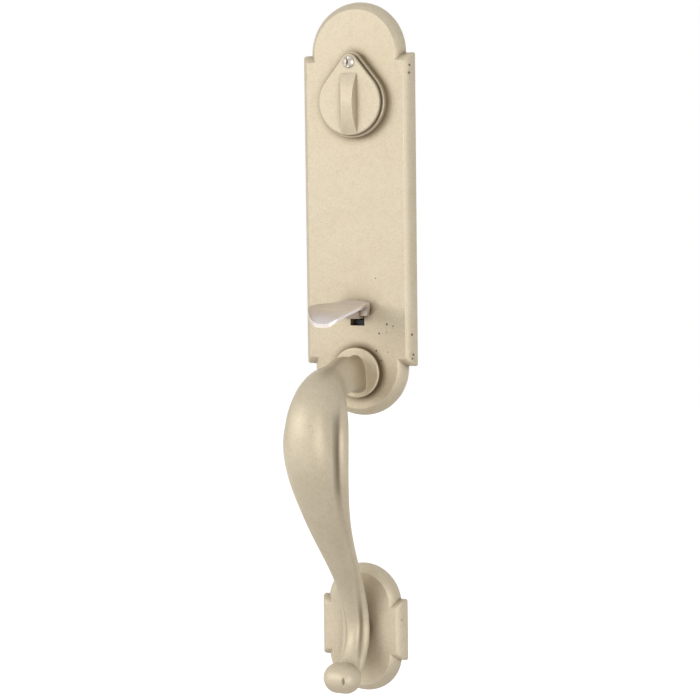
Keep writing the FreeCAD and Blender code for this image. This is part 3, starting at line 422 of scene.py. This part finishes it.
def cast_metal(name, light, dark, stain, roughness, grain, metallic):
    """Satin sand-cast bronze: faint clouds, fine sandy grain, worn edges with painted highlight, and
    painted shade in corners.
    """
    material, g, shader, coord = new_material(name)
    cloud = g.noise(coord, *CLOUD_NOISE)
    patch = g.noise(coord, *PATCH_NOISE)
    sand = g.noise(coord, *SAND_NOISE)
    fine_sand = g.noise(coord, *FINE_SAND_NOISE)
    swell = g.noise(coord, *SWELL_NOISE)
    # Painted shade goes everywhere but on the collar's front
    shade_allowed = off_collar_front(g, coord)

    tone = g.shades(cloud, srgb(*dark), srgb(*light))
    tone = g.mix(g.rise(patch, *PATCH_STAIN), tone, srgb(*stain))
    tone = g.mix(g.fall(sand, *SAND_STAIN), tone, srgb(*stain))
    # Edges lightened partly by wear and partly by painted highlight
    tone = g.mix(edge_wear_and_highlight(g), tone, srgb(*WORN_HIGHLIGHT_COLOUR))
    tone = g.mix(1.0, tone, g.shades(sand, *(grey(level) for level in SPECKLE)), "MULTIPLY")
    # Painted shade: in the groove, the hollows, round the collar, at the ball, in the pits and in the
    # corners
    layers = (
        (groove_painted_shade(g, coord), GROOVE_SHADE_COLOUR),
        (g.product(painted_shade(g, *HOLLOW_SHADE), shade_allowed), HOLLOW_SHADE_COLOUR),
        (collar_painted_shade(g, coord), COLLAR_SHADE_COLOUR),
        (ball_painted_shade(g, coord), BALL_SHADE_COLOUR),
        (pit_painted_shade(g, coord), PIT_SHADE_COLOUR),
        (g.product(painted_shade(g, *CORNER_SHADE), shade_allowed), CORNER_SHADE_COLOUR),
    )
    for strength, colour in layers:
        tone = g.mix(strength, tone, srgb(*colour))
    g.put(shader.inputs["Base Color"], tone)

    g.put(shader.inputs["Metallic"], metallic)
    sandy = g.swing(sand, *SAND_ROUGHNESS)
    cloudy = g.swing(cloud, *past(roughness, CLOUD_ROUGHNESS))
    g.put(shader.inputs["Roughness"], g.calc("ADD", sandy, cloudy))

    height = g.calc("ADD", g.product(sand, SAND_SHARE), g.product(fine_sand, FINE_SAND_SHARE))
    sanded = g.bump(height, SAND_RELIEF, grain)
    g.put(shader.inputs["Normal"], g.bump(swell, SWELL_RELIEF, grain, sanded))
    return material


def turned_metal(name, light, dark, roughness, lines):
    """Machined metal: fine turning lines across Y, faint tarnish, painted shade in slots."""
    material, g, shader, coord = new_material(name)
    line = g.noise(g.mapped(coord, TURNING_STRETCH), lines, *TURNING_NOISE)
    haze = g.noise(coord, *TARNISH_NOISE)
    tarnish = g.shades(haze, srgb(*dark), srgb(*light))
    # Painted shade darkens the slots
    g.put(shader.inputs["Base Color"], g.mix(painted_shade(g, *SLOT_SHADE), tarnish, srgb(*SLOT_SHADE_COLOUR)))
    g.put(shader.inputs["Metallic"], 1.0)
    lined = g.swing(line, *TURNING_ROUGHNESS)
    hazy = g.swing(haze, *past(roughness, TARNISH_ROUGHNESS))
    g.put(shader.inputs["Roughness"], g.calc("ADD", lined, hazy))
    g.put(shader.inputs["Normal"], g.bump(line, TURNING_RELIEF))
    return material


def plated_metal(name, light, dark, roughness):
    """Plated steel: soft crystalline clouding and light scuffs."""
    material, g, shader, coord = new_material(name)
    cells = g.add("ShaderNodeTexVoronoi", inputs={"Vector": coord, "Scale": CRYSTAL_SCALE})
    haze = g.noise(coord, *PLATING_NOISE)
    clouded = g.shades(haze, srgb(*dark), srgb(*light))
    tinted = g.mix(CRYSTAL_TINT, clouded, cells.outputs["Color"], "OVERLAY")
    g.put(shader.inputs["Base Color"], tinted)
    g.put(shader.inputs["Metallic"], 1.0)
    g.put(shader.inputs["Roughness"], g.swing(haze, *past(roughness, PLATING_ROUGHNESS)))
    g.put(shader.inputs["Normal"], g.bump(g.noise(coord, *SCUFF_NOISE), SCUFF_RELIEF))
    return material


def add_materials():
    """Give each node the metal that the record names for it."""
    made = {}
    kinds = ((cast_metal, CAST_METALS), (turned_metal, TURNED_METALS), (plated_metal, PLATED_METALS))
    for make, table in kinds:
        for name, values in table.items():
            made[name] = make(name, *values)
    for part in frame["record"]["subparts"]:
        slots = NODES[part["node"]].data.materials
        slots.clear()
        slots.append(made[part["material_slot"]])


def add_lamp(name, place, aim, size, power, colour):
    data = bpy.data.lights.new(name, "AREA")
    data.energy = power
    data.color = colour
    data.size = size
    lamp = bpy.data.objects.new(name, data)
    lamp.location = place
    lamp.rotation_euler = (Vector(aim) - Vector(place)).to_track_quat("-Z", "Y").to_euler()
    bpy.context.scene.collection.objects.link(lamp)


def add_camera():
    yaw, pitch, roll = (math.radians(v) for v in (CAMERA_YAW, CAMERA_PITCH, CAMERA_ROLL))
    back = Vector((math.sin(yaw) * math.cos(pitch), -math.cos(yaw) * math.cos(pitch), math.sin(pitch)))
    right = (-back).cross(Vector((0, 0, 1))).normalized()
    up = right.cross(-back)
    rolled_right = right * math.cos(roll) + up * math.sin(roll)
    rolled_up = up * math.cos(roll) - right * math.sin(roll)
    axes = Matrix((rolled_right, rolled_up, back)).transposed().to_4x4()
    data = bpy.data.cameras.new("camera")
    data.sensor_width = SENSOR_MM
    data.lens = FOCAL_PIXELS * SENSOR_MM / IMAGE_PIXELS
    data.clip_start = CAMERA_NEAR
    data.clip_end = CAMERA_FAR
    camera = bpy.data.objects.new("camera", data)
    camera.matrix_world = Matrix.Translation(CAMERA_TARGET + back * CAMERA_DISTANCE) @ axes
    bpy.context.scene.collection.objects.link(camera)
    bpy.context.scene.camera = camera


def lit_or_seen(g, lighting, seen):
    """Shader that lights the scene in one way and looks another way to the camera and in mirrors."""
    rays = g.add("ShaderNodeLightPath").outputs
    mirrored = g.calc("MAXIMUM", rays["Is Glossy Ray"], rays["Is Transmission Ray"])
    shown = g.calc("MAXIMUM", rays["Is Camera Ray"], mirrored)
    mixed = g.add("ShaderNodeMixShader", inputs={0: shown, 1: lighting.outputs[0], 2: seen.outputs[0]})
    return mixed.outputs[0]


def add_floor():
    square = ((-1, -1), (1, -1), (1, 1), (-1, 1))
    corners = [(x * FLOOR_HALF, y * FLOOR_HALF, FLOOR_Z) for x, y in square]
    mesh = bpy.data.meshes.new("floor")
    mesh.from_pydata(corners, [], [(0, 1, 2, 3)])
    floor = bpy.data.objects.new("floor", mesh)
    bpy.context.scene.collection.objects.link(floor)
    material = bpy.data.materials.new("floor")
    material.use_nodes = True
    g = Graph(material.node_tree)
    coord = g.add("ShaderNodeTexCoord").outputs["Object"]
    radius = g.measure("LENGTH", g.mapped(coord, (1.0, 1.0, 0.0)))
    fade = g.spread(radius, FADE_START, FADE_END, FADE_LEVEL, 1.0)
    diffuse = g.add("ShaderNodeBsdfDiffuse", inputs={"Color": srgb(*FLOOR_COLOUR)})
    veil = g.add("ShaderNodeEmission", inputs={"Color": WHITE, "Strength": fade})
    veiled = g.add("ShaderNodeAddShader", inputs={0: diffuse.outputs[0], 1: veil.outputs[0]})
    g.add("ShaderNodeOutputMaterial", inputs={"Surface": lit_or_seen(g, diffuse, veiled)})
    floor.data.materials.append(material)


def add_world():
    world = bpy.data.worlds.new("studio")
    bpy.context.scene.world = world
    world.use_nodes = True
    g = Graph(world.node_tree)
    soft = g.add("ShaderNodeBackground", inputs={"Color": srgb(*WORLD_COLOUR), "Strength": WORLD_LEVEL})
    white = g.add("ShaderNodeBackground", inputs={"Color": WHITE, "Strength": 1.0})
    g.add("ShaderNodeOutputWorld", inputs={"Surface": lit_or_seen(g, soft, white)})


bpy.context.scene.view_settings.view_transform = "Standard"
add_materials()
add_camera()
add_floor()
add_world()
for lamp_values in LAMPS:
    add_lamp(*lamp_values)
